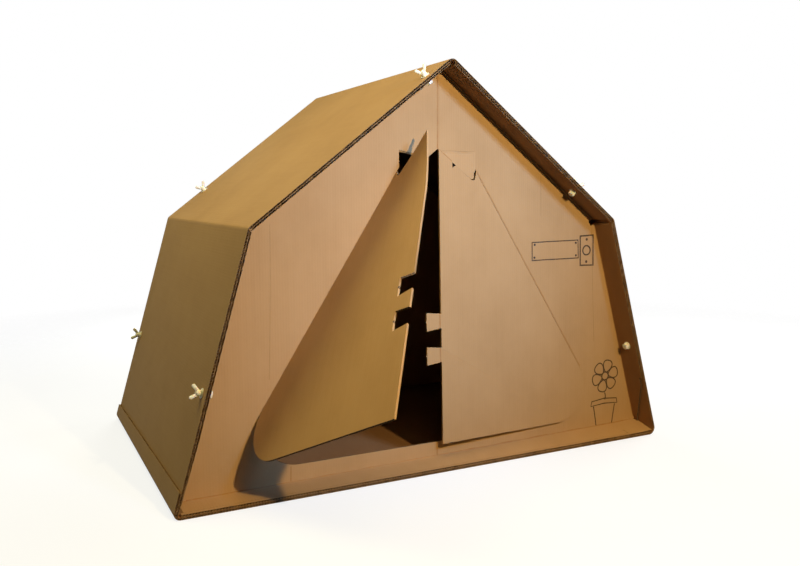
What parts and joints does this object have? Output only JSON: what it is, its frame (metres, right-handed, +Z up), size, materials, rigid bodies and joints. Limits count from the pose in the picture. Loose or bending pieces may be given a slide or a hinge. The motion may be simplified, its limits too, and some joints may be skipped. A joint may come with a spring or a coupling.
{
  "type": "cardboard play tent",
  "caption": "House-shaped play tent folded from corrugated card: a sleeve, flanged end sheets, hinged door flaps that lock with dovetail tongues, and wing-nut fasteners.",
  "frame": {"origin": "middle of the floor's underside, halfway between the sleeve's two ends", "axes": "+Z up, doorway faces -Y, +X to the right of someone who looks at the doorway"},
  "size_m": [1.2861, 1.2122, 0.9628],
  "materials": {
    "card": "uncoated brown liner",
    "nylon": "moulded natural nylon"
  },
  "bodies": {
    "tent": {"sleeve": "card", "front_panel": "card", "back_panel": "card", "screws": "nylon", "wing_nuts": "nylon"},
    "left_flap": {"left_door": "card"},
    "right_flap": {"right_door": "card"}
  },
  "joints": [
    {"name": "left_door_hinge", "type": "hinge", "parent": "tent", "child": "left_flap", "pos_m": [-0.101, -0.3505, 0.72], "axis": [-0.5388, 0, -0.8425], "range_deg": [-84, 36]},
    {"name": "right_door_hinge", "type": "hinge", "parent": "tent", "child": "right_flap", "pos_m": [0.101, -0.3505, 0.72], "axis": [-0.5388, 0, 0.8425], "range_deg": [-3.4, 116.6]}
  ]
}
